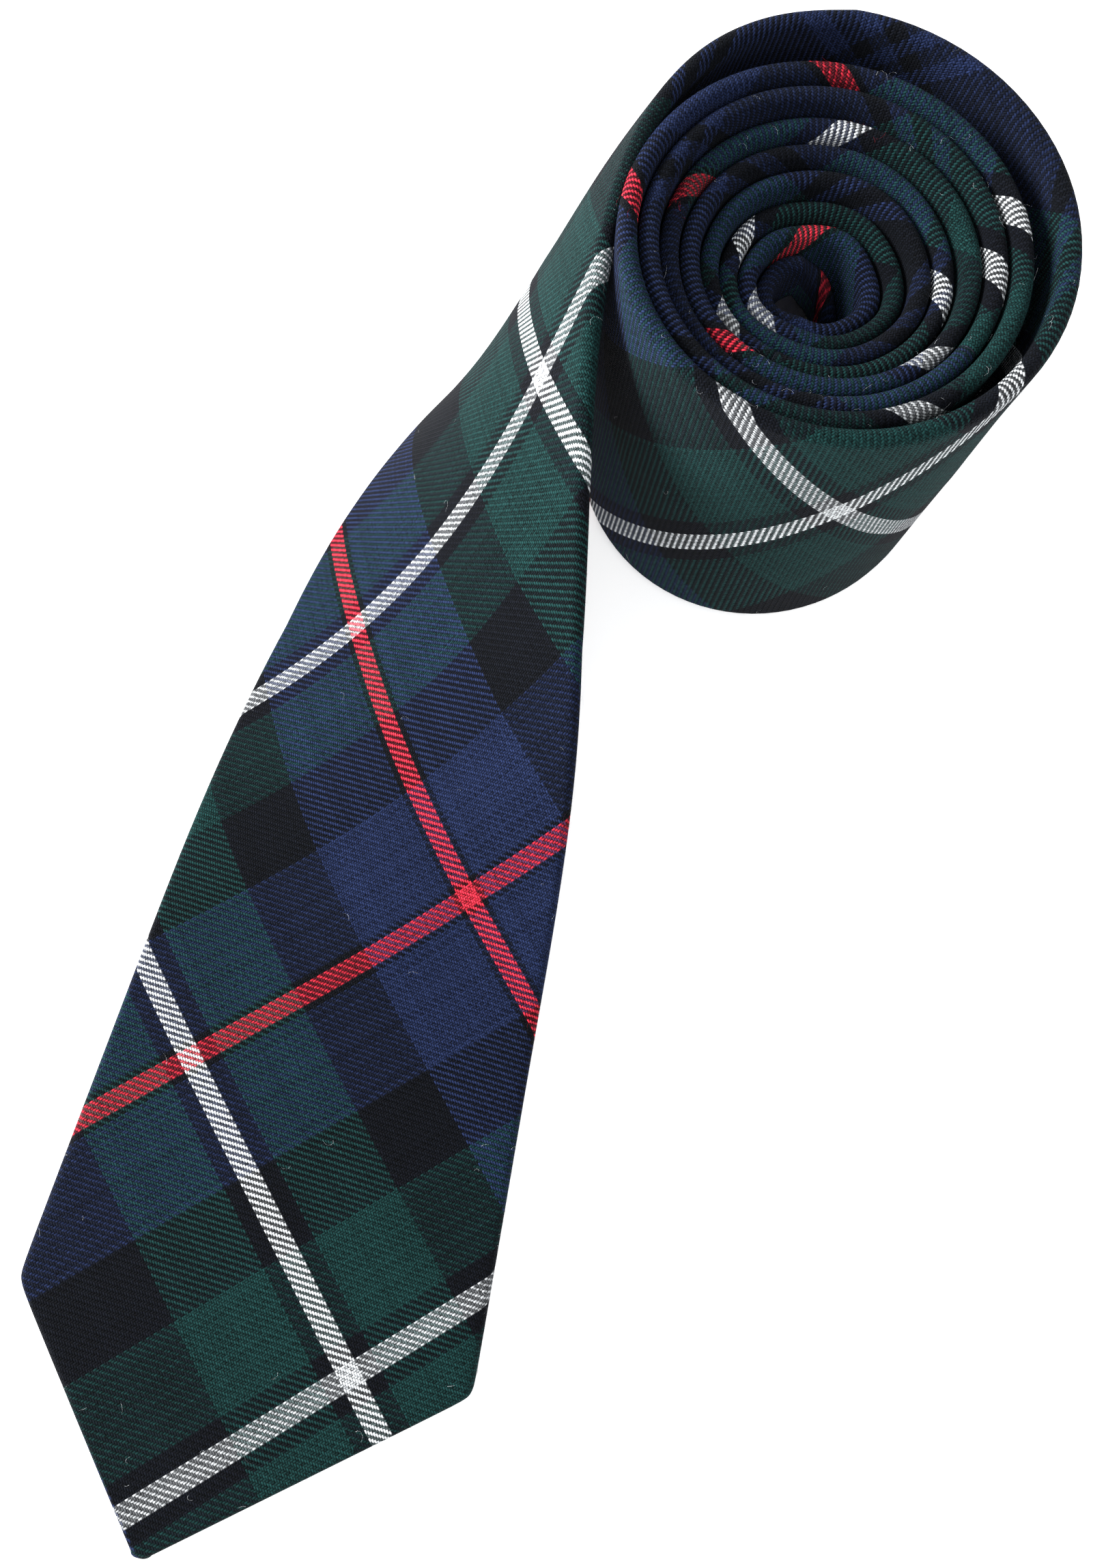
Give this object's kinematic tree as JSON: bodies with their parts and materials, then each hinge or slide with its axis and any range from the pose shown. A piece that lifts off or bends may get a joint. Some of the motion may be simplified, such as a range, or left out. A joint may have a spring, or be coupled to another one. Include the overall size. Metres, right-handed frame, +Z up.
{
  "type": "necktie",
  "caption": "Lined wool necktie rolled up from its narrow tail and standing on the roll's edge, its wide blade twisting down to lie flat to a right-angled point.",
  "frame": {"origin": "middle of the footprint, on the surface the tie rests on", "axes": "+Z up along the roll's axis, the blade runs out towards -Y to its point, +X to the right seen from the blade's point"},
  "size_m": [0.135, 0.278, 0.0685],
  "materials": {
    "tartan_wool": "brushed wool twill in a navy, bottle green and black tartan with red and white lines",
    "interlining_wool": "plain undyed woven interlining",
    "tipping_satin": "navy lining satin",
    "sewing_thread": "dark spun sewing thread",
    "label_tape": "plain woven label tape"
  },
  "bodies": {
    "roll": {"blade_shell": "tartan_wool", "neck_shell": "tartan_wool", "tail_shell": "tartan_wool", "interlining": "interlining_wool", "blade_neck_seam": "sewing_thread", "neck_tail_seam": "sewing_thread", "slip_stitch_thread": "sewing_thread", "keeper_loop": "tartan_wool", "keeper_stitches": "sewing_thread", "care_label": "label_tape", "label_stitches": "sewing_thread", "tail_tipping": "tipping_satin", "tail_bar_tack": "sewing_thread"},
    "blade_end": {"blade_end_shell": "tartan_wool", "blade_end_interlining": "interlining_wool", "blade_tipping": "tipping_satin", "tipping_stitches": "sewing_thread", "blade_bar_tack": "sewing_thread", "slip_stitch_end": "sewing_thread"}
  },
  "joints": [
    {"name": "blade_lift", "type": "hinge", "parent": "roll", "child": "blade_end", "pos_m": [-0.02532, -0.00627, 0.00911], "axis": [-0.986, 0.002, -0.1669], "range_deg": [0, 60]}
  ]
}
